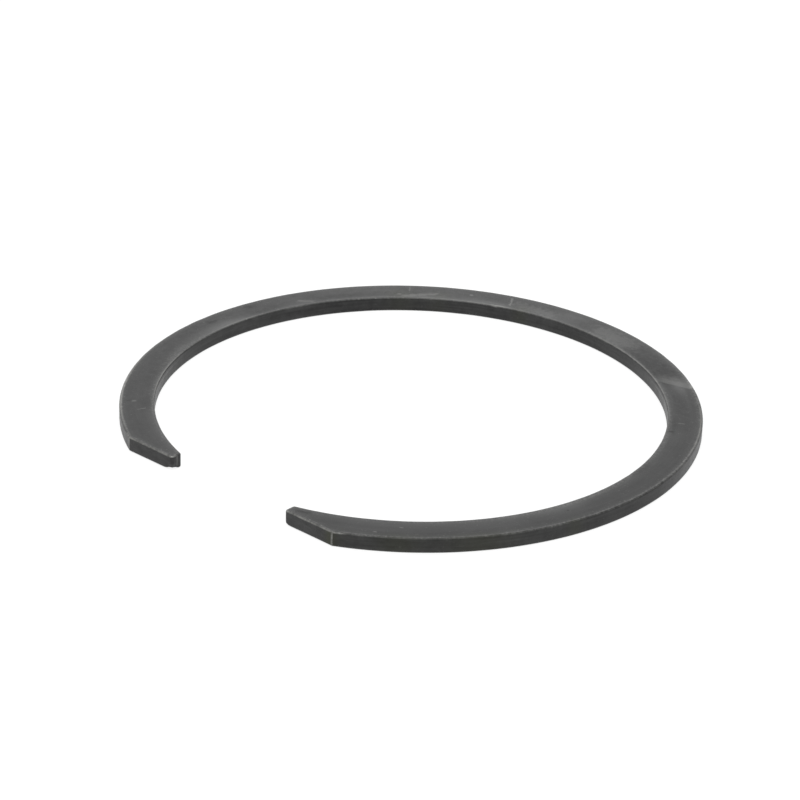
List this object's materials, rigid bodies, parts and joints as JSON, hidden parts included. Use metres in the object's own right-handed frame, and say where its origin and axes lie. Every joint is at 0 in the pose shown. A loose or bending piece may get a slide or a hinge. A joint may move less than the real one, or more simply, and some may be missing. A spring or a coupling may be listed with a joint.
{
  "type": "circlip retaining ring",
  "caption": "Flat open ring of dark spring steel without lugs, which springs out into a groove in a bore and holds a bearing or plug in place.",
  "frame": {"origin": "centre of the rim's circle, at mid-thickness", "axes": "+Z along the ring's axis, towards the face with the sharper edges; -Y from the centre towards the gap; +X across the gap"},
  "size_m": [0.075, 0.0706, 0.002],
  "materials": {
    "spring_steel": "satin dark grey phosphate, lightly oiled, rubbed bright along the edges"
  },
  "bodies": {
    "root": {"retaining_ring": "spring_steel"}
  },
  "joints": []
}
